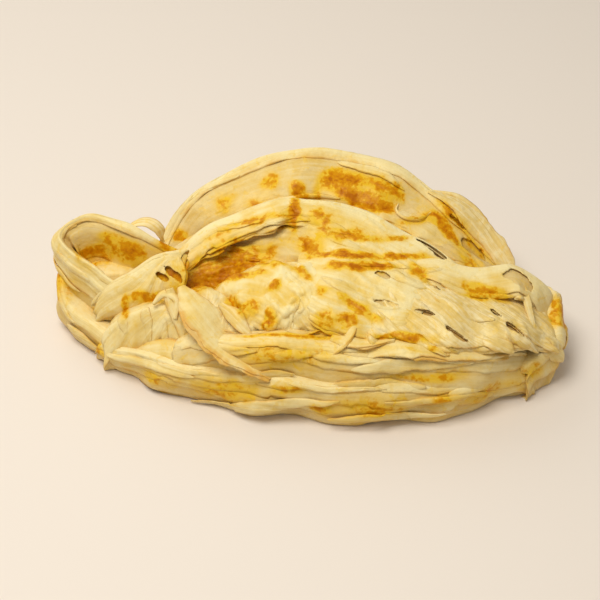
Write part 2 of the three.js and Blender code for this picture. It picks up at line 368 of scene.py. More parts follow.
PAD_MARKS = marks(
    ((-23, 13, 42), (6.5, 1.7, 7), -8, 0.95), ((-12, 17, 43), (4.5, 2.2, 7), 0, 0.55),
    ((0, 10, 44), (5, 1.7, 7), -41, 0.6), ((-10, 4, 42), (1.9, 1.9, 6), 0, 0.65),
    ((-20, -3, 38), (3, 3, 6), 0, 0.6), ((-28, 2, 34), (2.2, 4.0, 8), 0, 0.65),
    ((-24, -5, 33), (1.7, 2.8, 7), 0, 0.85), ((-12, -9, 36), (2.2, 2.2, 6), 0, 0.95),
)

# Browning in the hollow, made darker as painted shade for its depth.
HOLLOW_BROWN_AND_SHADE_MARKS = marks(
    ((-36, 21, 34), (9, 5, 10), 10, 1.0), ((-26, 27, 39), (6, 3.4, 7), 6, 0.6),
    ((-45, 14, 27), (7, 6, 9), 0, 1.0), ((-12, 29, 42), (15, 6, 9), 10, 0.2),
    ((-20, 24, 37), (9, 2, 6), 20, 0.5),
)

POCKET_MARKS = marks(
    ((-94, 29, 41), (2.6, 0.9, 4), -48, 0.6), ((-90, 34, 34), (4.4, 2.0, 5), 10, 0.6),
    ((-82, 36, 42), (4.0, 2.2, 2.4), -10, 0.6), ((-73, 33, 38), (6, 2.2, 4), -26, 0.75),
    ((-68, 31, 33), (4.5, 1.8, 4), -20, 0.45), ((-56, 34, 41), (5, 1.6, 6), 5, 0.55),
    ((-64, 9, 35), (6, 1.6, 6), -15, 0.7), ((-73, 8, 28), (1.3, 4, 8), 0, 0.75),
    # Dark marks inside the hood's slits: painted shade of the holes.
    ((-56, 16.2, 36.6), (4, 1.5, 1.5), 0, 1.8), ((-51.6, 16.4, 38.3), (4, 1.5, 1.5), 0, 1.8),
)

RIGHT_MARKS = marks(
    ((49, 10, 44), (3.6, 2.1, 6), -46, 0.95), ((73, 5, 40), (4.6, 2.1, 6), -11, 0.95),
    ((82, 3, 38), (3.4, 1.6, 6), -25, 0.6), ((72, 1, 39), (5, 1.2, 6), -3, 0.6),
    ((110, 9, 24), (2.8, 4.5, 8), 10, 0.9), ((106, 3, 25), (2.4, 2.4, 6), 0, 0.7),
    ((42, -21, 36), (9, 1.1, 4), -2, 0.8), ((46, -25, 34), (12, 1, 4), -3, 0.5),
    ((-4, -17, 33), (16, 1.1, 3), -4, 0.8), ((-6, -24, 29), (20, 5, 5), 0, 0.4),
)

HIDDEN_MARKS = marks(
    ((-28, -26, 12), (14, 3, 5), -10, 0.5), ((-58, -14, 9), (6, 4, 3), -20, 0.6),
    ((-4, -34, 17), (5, 4, 1.6), 0, 0.6), ((8, -36, 9), (3.5, 4, 2), 0, 0.7),
    ((30, -36, 12), (12, 4, 4), 0, 0.5), ((50, -32, 22), (14, 5, 1.6), 0, 0.6),
    ((58, -36, 14), (5, 5, 2.4), 0, 0.5), ((80, -28, 10), (10, 5, 4), 18, 0.6),
    ((96, -14, 13), (4, 4, 3), 40, 0.6), ((-84, 4, 8), (5, 5, 2), -40, 0.5),
    ((34, 82, 37), (19, 9, 6), -20, 0.95), ((16, 84, 21), (5, 9, 2), 0, 0.7),
    ((-26, 84, 39), (9, 9, 4), 5, 0.85), ((-36, 80, 21), (3.5, 9, 2), 5, 0.7),
    ((-10, 84, 12), (8, 9, 2), 0, 0.55), ((63, 66, 29), (6, 9, 3), 5, 0.75),
    ((52, 74, 14), (4, 9, 2), 0, 0.6), ((-52, 62, 27), (3, 9, 2), 0, 0.65),
    ((-66, 56, 10), (7, 7, 3), 30, 0.6), ((82, 58, 12), (7, 7, 3), -40, 0.6),
    ((-104, 34, 20), (6, 8, 5), 0, 0.6), ((-84, 46, 34), (10, 9, 3), 0, 0.7),
    ((40, 49, 34), (12, 4, 3.5), -20, 0.5), ((72, 35, 29), (8, 4, 4), -30, 0.4),
)

BROWN_AND_SHADE_MARKS = (
    ARCH_MARKS + CENTRE_MARKS + PAD_MARKS + HOLLOW_BROWN_AND_SHADE_MARKS + POCKET_MARKS + RIGHT_MARKS + HIDDEN_MARKS
)

SIDE_CREASES = Creases(0.5, 80, 7, shingle=0.5, wrinkle=0.4)

FOLDS: tuple[Fold, ...] = (
    Fold("back_arch", front=Side(26, 17, 4), back=Side(1, 52, 3, 8), pinch=(0.45, 0.45), ripple=(5, 1.0),
         crest=((-62, 55, 20), (-49, 68, 40), (-10, 81, 54), (36, 77, 53), (65, 61, 40), (92, 40, 19)),
         hems=((0.34, 0.25), (0.62, 0.94), (0.8, 0.98), (1.03, 1.06)),
         creases=Creases(0.8, 70, 7.5, shingle=0.7, wrinkle=0.5), ragged=0.8, thin=0.3, cell=1.0,
         slits=(Slit((0.9, 12), (8, 4.5), 0, 3), Slit((0.83, 5.5), (5, 1.5), 0, 3)),
         scraps=Scraps(4, (26, 50), (3, 6), 0, 0.3, 11),
         back_scraps=Scraps(9, (30, 64), (4, 10), 0, 0.45, 21)),
    Fold("arch_apron", front=Side(14, 1, 4), back=Side(4, 8, 3), pinch=(0.8, 0.8), ripple=(3, 1.2),
         crest=((22, 66, 43), (40, 61, 41), (56, 53, 37), (69, 43, 31)),
         hems=((0.9, 0.8), (1.0, 1.0)), creases=Creases(0.7, 50, 7, shingle=0.4), ragged=1.2, thin=0.3,
         inner=0.1),
    Fold("ridge_lip", front=Side(17, 4, 9), back=Side(9, 24, 3), pinch=(0.6, 0.75), ripple=(3.5, 1.6),
         crest=((-55, 31, 35), (-43, 37, 44), (-28, 43, 50), (-8, 47.5, 53.6), (6, 46.5, 52.6), (18, 44, 48)),
         hems=((0.5, 0.66), (0.8, 0.88), (1.0, 1.0)), creases=Creases(0.5, 60, 5, shingle=0.5), ragged=1.6,
         thin=0.1, cell=0.65, scraps=Scraps(4, (16, 30), (3, 6), 6, 0.5, 2)),
    Fold("centre_sheet", front=Side(66, 18, 22, 2), back=Side(5, 24, 3), pinch=(0.5, 0.6), ripple=(2.5, 1.3),
         crest=((-5, 45.5, 54.2), (14, 44, 54), (32, 38.5, 51.5), (45, 31.5, 48), (54, 25.5, 45.5),
                (65, 20, 40)),
         hems=((0.6, 0.92), (0.8, 0.98), (1.0, 1.04)),
         creases=Creases(0.75, 46, 9, shingle=0.35, wrinkle=0.7), curl=(1.5, 2), droop=(14, 0),
         slant=(26, -8), steady=0.85, ragged=1.6, thin=0.1, cell=0.75,
         slits=(Slit((0.66, 30), (4.5, 1.0), 0, 1), Slit((0.74, 42), (6.5, 1.4), 5, 1),
                Slit((0.85, 0.5), (8, 1.8), 0, 3), Slit((0.89, 1.0), (4, 3.0), 0, 3)),
         scraps=Scraps(7, (14, 34), (4, 8), -4, 0.4, 8)),
    Fold("blistered_pad", front=Side(29, 16, 16, 1), back=Side(9, 13, 6), pinch=(0.45, 0.6), ripple=(2, 1.2),
         crest=((-39, 4, 25), (-29, 12, 37), (-12, 15, 43), (7, 10, 44), (22, -4, 40)),
         hems=((0.9, 0.97), (1.05, 1.06)),
         creases=Creases(0.9, 26, 9, 35, shingle=0.15, wrinkle=0.4, blister=0.6), thin=0.0, cell=0.65,
         scraps=Scraps(3, (10, 18), (5, 9), 30, 0.4, 3)),
    Fold("right_fold", front=Side(14, 7, 6, 1), back=Side(7, 20, 3), pinch=(0.4, 0.8), ripple=(3, 1.0),
         crest=((30, 17, 42), (54, 17, 46), (74, 14, 43), (91, 17, 41.5), (101, 15, 35), (107, 12, 26)),
         hems=((0.5, 0.75), (0.8, 1.0), (1.0, 1.3)), creases=Creases(0.45, 60, 7, shingle=0.35), thin=0.25,
         cell=0.65, slits=(Slit((0.74, 6), (9, 4.2), -8, 1),), scraps=Scraps(3, (18, 34), (3, 6), 0, 0.4, 6)),
    Fold("right_fan", front=Side(36, 12, 14, 2), back=Side(6, 12, 4), pinch=(0.8, 0.6), ripple=(4, 1.6),
         crest=((8, 8, 35), (28, 10, 41.5), (50, 8, 42), (80, 9, 37), (104, 13, 25)),
         hems=((0.9, 0.78), (1.0, 0.92), (1.0, 1.06)),
         creases=Creases(1.1, 30, 8, 48, shingle=0.8, wrinkle=0.8), curl=(6, 4.5), ragged=1.8, thin=0.8,
         cell=0.65,
         slits=(Slit((0.476, 4), (0.8, 4.5), 50, 2), Slit((0.44, 18), (0.9, 5), 62, 2),
                Slit((0.664, 8), (0.8, 5), 77, 2), Slit((0.709, 17), (0.8, 3.5), 32, 2),
                Slit((0.548, 28), (0.95, 6.5), 42, 2), Slit((0.762, 26), (1.7, 5), 34, 2)),
         scraps=Scraps(14, (16, 36), (4, 9), 46, 0.4, 5)),
    Fold("right_end", front=Side(2, 26, 3, 5), back=Side(12, 4, 6), pinch=(0.8, 0.4), ripple=(4, 1.2),
         crest=((92, -18, 18), (106, -3, 22), (108, 13, 26), (102, 29, 24), (90, 43, 18)),
         hems=((0.8, 0.4), (1.0, 0.7), (1.1, 1.05)), creases=Creases(0.6, 30, 6, 70), thin=0.5,
         scraps=Scraps(4, (14, 26), (4, 8), 70, 0.45, 7)),
    Fold("pocket_wall", front=Side(2, 40, 2.5, 4), back=Side(9, 26, 3), pinch=(0.75, 0.8), ripple=(4, 0.9),
         crest=((-47, 33, 34), (-62, 35, 43), (-76, 40, 48.5), (-90, 43, 49.5), (-100, 40, 46.5),
                (-102, 36, 43), (-97, 30, 39), (-89, 25, 36), (-80, 19, 32), (-66, 15, 30)),
         hems=((0.3, 0.6), (0.9, 0.84), (1.0, 1.03)), creases=Creases(0.7, 90, 8, shingle=0.4), ragged=0.6,
         thin=0.25, cell=0.75, scraps=Scraps(6, (20, 36), (3, 6), 0, 0.5, 3)),
    Fold("hood", front=Side(12, 21, 3, 2), back=Side(2, 26, 2), pinch=(0.4, 1.0), ripple=(2, 0.8),
         crest=((-87, 17, 28), (-74, 19, 36), (-60, 21, 43.5), (-48, 20, 47.5)),
         hems=((0.6, 0.95), (0.9, 1.0), (1.0, 1.1)),
         creases=Creases(0.7, 60, 6, gather=(0.96, 3), shingle=0.3), curl=(9, 0.8), slant=(0, 4), ragged=0.6,
         thin=0.4, cell=0.6,
         slits=(Slit((0.82, 12.8), (0.95, 4.8), 57, 2), Slit((0.93, 12.6), (1.1, 6.4), 50, 2))),
    Fold("fold_below_hood", front=Side(7, 27, 4, 4), back=Side(9, 3, 4), pinch=(0.7, 0.8), ripple=(3, 1.6),
         crest=((-82, 4, 18), (-68, 4, 28), (-55, 3, 31), (-46, -5, 24)),
         hems=((1.0, 0.75), (1.0, 1.05)), creases=Creases(1.2, 60, 7, gather=(0.9, -3), shingle=0.3),
         ragged=1.4, cell=0.65, scraps=Scraps(3, (16, 26), (4, 7), 80, 0.4, 2)),
    Fold("upper_front_side", front=Side(7, 26, 3, 7), back=Side(10, 2, 6), pinch=(0.8, 0.8), ripple=(4, 2.0),
         crest=((-52, -10, 24), (-14, -19, 33), (30, -23, 33), (66, -22, 29), (94, -10, 20)),
         hems=((0.7, 0.24), (1.0, 0.5), (1.1, 0.78), (1.1, 1.02)), creases=SIDE_CREASES, ragged=1.3,
         cell=0.85, scraps=Scraps(8, (24, 50), (3, 7), 0, 0.45, 12)),
    Fold("lower_front_side", front=Side(3, 22, 3, 6), back=Side(12, 2, 6), pinch=(0.4, 0.7), ripple=(5, 2.2),
         crest=((-86, 6, 10), (-72, -5, 14), (-42, -20, 18), (10, -31, 20), (60, -29, 18), (98, -8, 13)),
         hems=((0.8, 0.3), (1.0, 0.56), (1.1, 0.8), (1.1, 1.1)), creases=SIDE_CREASES, ragged=1.4, cell=0.9,
         scraps=Scraps(8, (24, 50), (3, 7), 0, 0.45, 5)),
    Fold("lower_back_side", front=Side(2, 30, 3, 7), back=Side(18, 0, 7), pinch=(0.8, 0.8), ripple=(4.5, 2.4),
         crest=((96, 34, 14), (60, 62, 24), (5, 78, 27), (-48, 64, 22), (-88, 42, 18)),
         hems=((0.8, 0.3), (1.0, 0.55), (1.1, 0.8), (1.1, 1.04)), creases=SIDE_CREASES, ragged=1.4, cell=1.0,
         scraps=Scraps(12, (24, 50), (4, 8), 0, 0.45, 6)),
    Fold("left_side", front=Side(0, 28, 3, 5), back=Side(10, 2, 5), pinch=(0.4, 0.8), ripple=(4, 1.0),
         crest=((-78, 52, 21), (-92, 47, 25), (-103, 34, 24), (-97, 20, 16), (-78, 2, 14)),
         hems=((0.8, 0.4), (1.0, 0.75), (1.0, 1.04)), creases=Creases(0.5, 60, 7), thin=0.4, cell=0.9,
         scraps=Scraps(4, (16, 30), (4, 7), 0, 0.4, 8)),
    Fold("hollow_wall", front=Side(24, 21, 5), back=Side(15, 4, 4), pinch=(0.7, 0.8), ripple=(2, 1.0),
         crest=((-54, 15, 31), (-45, 30, 37), (-28, 37, 41.5), (-8, 36.5, 46.5), (9, 33, 49)),
         hems=((1.0, 0.75), (1.0, 1.0)), creases=Creases(1.3, 40, 5, 16, shingle=0.9, wrinkle=1.0),
         curl=(2, 0.5), thin=0.0, inner=0.45, cell=0.6, scraps=Scraps(7, (14, 30), (4, 7), 14, 0.5, 9)),
    Fold("trough_floor", front=Side(15, 3, 5), back=Side(15, 5, 5), pinch=(0.6, 0.5), ripple=(3, 1.2),
         crest=((-8, 60, 36), (22, 56, 37), (52, 46, 34), (76, 32, 28), (92, 22, 20)),
         hems=((0.7, 0.7), (1.0, 1.0)), creases=Creases(1.0, 50, 6, shingle=0.7, wrinkle=0.6), ragged=1.4,
         inner=0.6, scraps=Scraps(5, (18, 34), (4, 8), 0, 0.4, 13)),
    Fold("hollow_lump", front=Side(7, 12, 6, 1), back=Side(6, 10, 6), pinch=(0.6, 0.7), ripple=(3, 1.6),
         crest=((-49, 5, 31), (-42, 10, 35), (-35, 6, 36), (-30, -2, 33), (-23, -10, 28)),
         hems=((0.9, 0.9), (1.1, 1.1)),
         creases=Creases(1.0, 20, 6, 60, shingle=0.2, wrinkle=0.5, blister=0.5), curl=(3, 3), thin=0.6,
         cell=0.6),
)

STRIPS: tuple[Strip, ...] = (
    Strip("wide_strip", ((-48, 5, 40), (-42, -4, 36), (-33, -12, 29.5), (-21, -18, 23), (-11, -22, 17)), 20,
          (15, -20), 2, taper=(0.15, 0.9)),
    Strip("thin_strip", ((-53, 6, 38), (-51, 1, 33), (-48, -4, 26), (-45, -8, 18)), 6, (0, 30), 2),
    Strip("tucked_strip", ((-69, -4, 12), (-61, -7, 17), (-52, -10, 19.5), (-42, -15, 19.5)), 9, (35, 30), 2,
          taper=(0.3, 0.4)),
    Strip("small_flap", ((-33, 1, 36), (-28, -4, 35.5), (-24, -8, 33.5), (-19, -12, 30)), 6, (50, 10), 1,
          taper=(0.3, 0.2), thin=0.7),
    Strip("knot_strip", ((-60, 3, 33), (-55, 5, 36.5), (-50, 2, 35.5), (-51, -3, 30)), 3.5, (40, 10), 1,
          taper=(0.2, 0.3)),
    Strip("curled_flake", ((-75, 39, 44), (-69, 40, 46.5), (-64, 40, 47), (-60, 39, 45), (-59, 39, 38)), 4.5,
          (-10, 50), 1, taper=(0.1, 0.5), thin=0.9),
    Strip("right_strand", ((91, 18, 40.5), (93, 10, 37), (94, 2, 33), (95, -5, 28.5), (95, -11, 24)), 3,
          (10, -10), 1, camber=0.1, taper=(0.2, 0.2), thin=0.8),
    Strip("edge_loop",
          ((44, 61, 42.6), (42, 56, 41.8), (45, 52, 40.6), (51, 52, 40), (57, 57, 39.4), (60, 61, 39.6)), 1.3,
          (20, 60), 1, camber=0.1, taper=(0.2, 0.2), thin=0.6),
    Strip("outer_film",
          ((56, 65, 45), (66, 63, 41), (74, 59, 36.5), (81, 53, 31), (87, 46, 25), (91, 41, 19)), 12,
          (-5, 15), 1, taper=(0.1, 0.5), thin=0.9),
    Strip("outer_strand", ((58, 67, 44), (68, 67, 41.5), (76, 63, 37), (82, 57, 32), (88, 49, 25)), 2.5,
          (10, 40), 1, taper=(0.2, 0.3), thin=0.5),
    Strip("twisted_strip", ((22, -14, 38), (18, -20, 34.5), (14, -23, 31), (8, -25, 26)), 6, (0, 75), 2),
    Strip("crossed_strip", ((38, -22, 34), (28, -23, 34), (19, -21, 34.5), (12, -18, 34)), 5, (30, -30), 2),
    Strip("right_hem", ((18, -24, 30), (42, -25, 33), (64, -24, 30), (84, -16, 23)), 9, (30, 10), 2),
)

MOUNDS: tuple[Mound, ...] = (
    Mound((6, 20), (82, 46), 36, 2.4, 7, 1.6),
    Mound((-79, 32), (20, 10.5), 31, 3.0, 3, 1.5, 0.0),
)
HOLLOW_CENTRE = (-31, 25, 44)
HOLLOW_RADII = (22, 15, 22)


def primitive(make: Callable[..., object], **sizes: float) -> tuple[bpy.types.Mesh, Array]:
    """Make a mesh with one operator.

    Args:
        make: The operator, which is given an empty bmesh.
        sizes: Its settings.

    Returns:
        The mesh, and the places of its corners.
    """
    bm = bmesh.new()
    make(bm, **sizes)
    data = bpy.data.meshes.new("sheet")
    bm.to_mesh(data)
    bm.free()
    flat = np.empty(len(data.vertices) * 3)
    data.vertices.foreach_get("co", flat)
    return data, flat.reshape(-1, 3)


def mask_values(shape: tuple[int, ...], **given: Array | float) -> dict[Mask, Array]:
    """Values of every mask over one mesh, 0 for those that aren't given."""
    return {mask: np.zeros(shape) + given.get(mask.value, 0.0) for mask in Mask}


def dress(data: bpy.types.Mesh, places: Array, masks: dict[Mask, Array]) -> None:
    """Move a mesh's corners to places in millimetres and store their masks."""
    data.vertices.foreach_set("co", ((places - np.array([*MIDDLE, 0.0])) * MM).ravel())
    for mask, values in masks.items():
        data.attributes.new(mask.value, "FLOAT", "POINT").data.foreach_set("value", values)


def tear(data: bpy.types.Mesh, inside: Array) -> None:
    """Remove the faces that lie in a hole and smooth its rim.

    Args:
        data: The mesh that is torn.
        inside: Above 0 at corners inside the hole.
    """
    bm = bmesh.new()
    bm.from_mesh(data)
    gone = [face for face in bm.faces if sum(inside[vert.index] for vert in face.verts) > 0]
    touched = {vert for face in gone for vert in face.verts}
    bmesh.ops.delete(bm, geom=gone, context="FACES")
    rim = [vert for vert in touched if vert.is_valid and vert.is_boundary]
    axes = {f"use_axis_{axis}": True for axis in "xyz"}
    for _ in range(RIM_PASSES):
        bmesh.ops.smooth_vert(bm, verts=rim, factor=0.5, **axes)
    bm.to_mesh(data)
    bm.free()


def sheet_mesh(places: Array, masks: dict[Mask, Array], holes: Array | None = None) -> bpy.types.Mesh:
    """Mesh of one sheet.

    Args:
        places: Place of each grid corner by row and column, in millimetres.
        masks: Value of each corner by mask.
        holes: Above 0 at corners inside a hole, or None.

    Returns:
        The sheet's mesh.
    """
    down, across = places.shape[0] - 1, places.shape[1] - 1
    data, corners = primitive(bmesh.ops.create_grid, x_segments=across, y_segments=down, size=0.5)
    column = np.rint((corners[:, 0] + 0.5) * across).astype(int)
    row = np.rint((corners[:, 1] + 0.5) * down).astype(int)
    dress(data, places[row, column], {mask: values[row, column] for mask, values in masks.items()})
    if holes is not None and (holes > 0).any():
        tear(data, holes[row, column])
    return data


def finished(name: str, parts: Iterable[bpy.types.Mesh], thickness: float = 0.0) -> bpy.types.Object:
    """Join meshes into one smooth object.

    Args:
        name: The object's name.
        parts: The meshes, which are removed.
        thickness: Thickness of its wall, in millimetres, or 0 for a closed solid.

    Returns:
        The object, at the origin.
    """
    whole = bmesh.new()
    for part in parts:
        whole.from_mesh(part)
        bpy.data.meshes.remove(part)
    data = bpy.data.meshes.new(name)
    whole.to_mesh(data)
    whole.free()
    data.shade_smooth()
    piece = bpy.data.objects.new(name, data)
    bpy.context.scene.collection.objects.link(piece)
    if thickness:
        wall = piece.modifiers.new("wall", "SOLIDIFY")
        wall.thickness = thickness * MM
        wall.offset = -1
        wall.use_rim = True
    return piece


class BrowningAndShade:
    """Where the pan browned the dough, and where shade is painted in the hollow and the hood's slits."""

    BEND = 1.3  # how far a mark's outline wanders, in millimetres
    BEND_LENGTH = 6.0  # how long its bends are, in millimetres
    SPOT = 4.2  # size of the spots in a mark, in millimetres
    FADE = 0.55  # how soon a mark fades outwards
    OVERLAP = 0.6  # how much less a mark adds to what is darkened already
    MOTTLE = 0.35  # how much the spots change a mark

    def __init__(self, given: tuple[BrownAndShadeMark, ...], seed: int) -> None:
        """Take the browned places, and the number that fixes how uneven they are."""
        self.marks = given
        self.coarse = LatticeNoise(seed)
        self.fine = LatticeNoise(seed + 1)

    def level(self, places: Array) -> Array:
        """How browned the dough is, with the painted shade of some marks.

        Args:
            places: Places in millimetres, in a last axis of three.

        Returns:
            Values from 0, pale, to 1, darkest.
        """
        total = np.zeros(places.shape[:-1])
        x, y, z = (places[..., k] for k in range(3))
        bends = [axis / self.BEND_LENGTH for axis in (x, y, z)]
        bent_x = x + self.BEND * self.coarse.at(*bends)
        bent_y = y + self.BEND * self.coarse.at(bends[0] + 31, *bends[1:])
        for mark in self.marks:
            along, across = turned(bent_x - mark.place[0], bent_y - mark.place[1], mark.heading)
            up = (z - mark.place[2]) / mark.size[2]
            reach = (along / mark.size[0]) ** 2 + (across / mark.size[1]) ** 2 + up**2
            room = 1 - np.minimum(total, 1) * self.OVERLAP
            total = total + mark.strength * np.exp(-self.FADE * reach) * room
        mottle = self.fine.at(x / self.SPOT, y / self.SPOT, z / self.SPOT)
        return np.clip(total * (1 + self.MOTTLE * mottle), 0, 1)


class Dough:
    """Everything that bends, creases and tears a sheet in the same way all over the heap."""

    SHEET = 0.45  # thickness of one layer, in millimetres
    SLACK = (1.6, 1.6, 1.5)  # how far the heap's slack shifts a place, in millimetres
    SLACK_LENGTH = 21  # how far apart places shift on their own, in millimetres
    TREAD = 0.9  # share of a shingle's width over which it rises

    def __init__(self, seed: int) -> None:
        """Draw the noises that a seed fixes."""
        self.slack, self.crease, self.tear, self.hem = (LatticeNoise(seed + k) for k in range(4))

    def sag(self, places: Array) -> Array:
        """Shift that bends every sheet alike, by where it lies in the heap, in millimetres."""
        x, y, z = (places[..., k] / self.SLACK_LENGTH for k in range(3))
        shift = np.stack([self.slack.at(x + 17 * k, y - 5 * k, z) for k in range(3)], axis=-1)
        return shift * np.array(self.SLACK)

    def relief(self, creases: Creases, p: Array, q: Array, key: float) -> tuple[Array, Array]:
        """Height of a sheet's creases.

        Args:
            creases: Their kind.
            p: Distance along the creases, in millimetres.
            q: Distance across them.
            key: Number that picks another stretch of the pattern.

        Returns:
            Heights in millimetres, and how much each place stands up, from -1 to 1.
        """
        long, wide = creases.length, creases.width
        bent = q + 0.5 * wide * self.slack.at(p / long * 1.7, q / wide / 3, key)
        bent = bent + 0.5 * self.slack.at(p / 8, q / 6, key)
        calm = step(-0.35, 0.35, self.slack.at(p / 34, q / 22, key + 7))
        pleat = self.crease.at(p / long, bent / wide, key)
        line = self.crease.at(p / long * 1.4, bent / wide * 0.9, key + 9)
        valley = np.exp(-((line / 0.1) ** 2)) * calm
        height = creases.depth * (1.3 * pleat * (0.4 + 0.6 * calm) - 0.35 * valley)
        height += 0.7 * creases.shingle * self.shingles(p, bent, long, wide, key)
        if creases.wrinkle:
            fold = self.crease.at(p / long * 1.2, bent / wide * 1.5, key + 17)
            height += creases.wrinkle * np.exp(-((fold / 0.16) ** 2)) * (0.3 + 0.7 * calm)
        if creases.blister:
            height += creases.blister * self.blisters(p, q, key)
        return height, np.clip(height / (creases.depth + creases.shingle + creases.blister), -1, 1)

    def shingles(self, p: Array, q: Array, long: float, wide: float, key: float) -> Array:
        """Low steps where one thin layer ends on the next.

        Args:
            p: Distance along them, in millimetres.
            q: Distance across them.
            long: Length of the creases.
            wide: Width of the creases.
            key: Number that picks another stretch of the pattern.

        Returns:
            Heights from 0 to 1.
        """
        turns = q / wide / 0.9 + 0.9 * self.tear.at(p / long * 1.3, q / wide / 2.5, key)
        turns = turns + 0.12 * self.tear.at(p / 6, q / 6, key + 2)
        saw = turns - np.floor(turns)
        held = step(-0.1, 0.25, self.tear.at(p / long * 1.6, np.floor(turns) * 0.77, key + 5))
        return held * np.where(saw < self.TREAD, (saw / self.TREAD) ** 2, (1 - saw) / 0.1)

    def blisters(self, p: Array, q: Array, key: float) -> Array:
        """Rounded bubbles that the pan raised, in millimetres for a blister of one."""
        big = step(0.0, 0.7, self.slack.at(p / 8.5, q / 8.5, key + 3))
        small = step(0.1, 0.7, self.slack.at(p / 4.2, q / 4.2, key + 8))
        return 1.8 * big + 0.7 * small - 0.5


@dataclass(frozen=True)
class Form:
    """A part of the heap: what creases it, what browns it and paints shade on it, and the number that sets it
    apart.
    """

    dough: Dough
    toasting: BrowningAndShade
    seed: int

    def build(self) -> bpy.types.Object:
        """The part as one object."""
        raise NotImplementedError


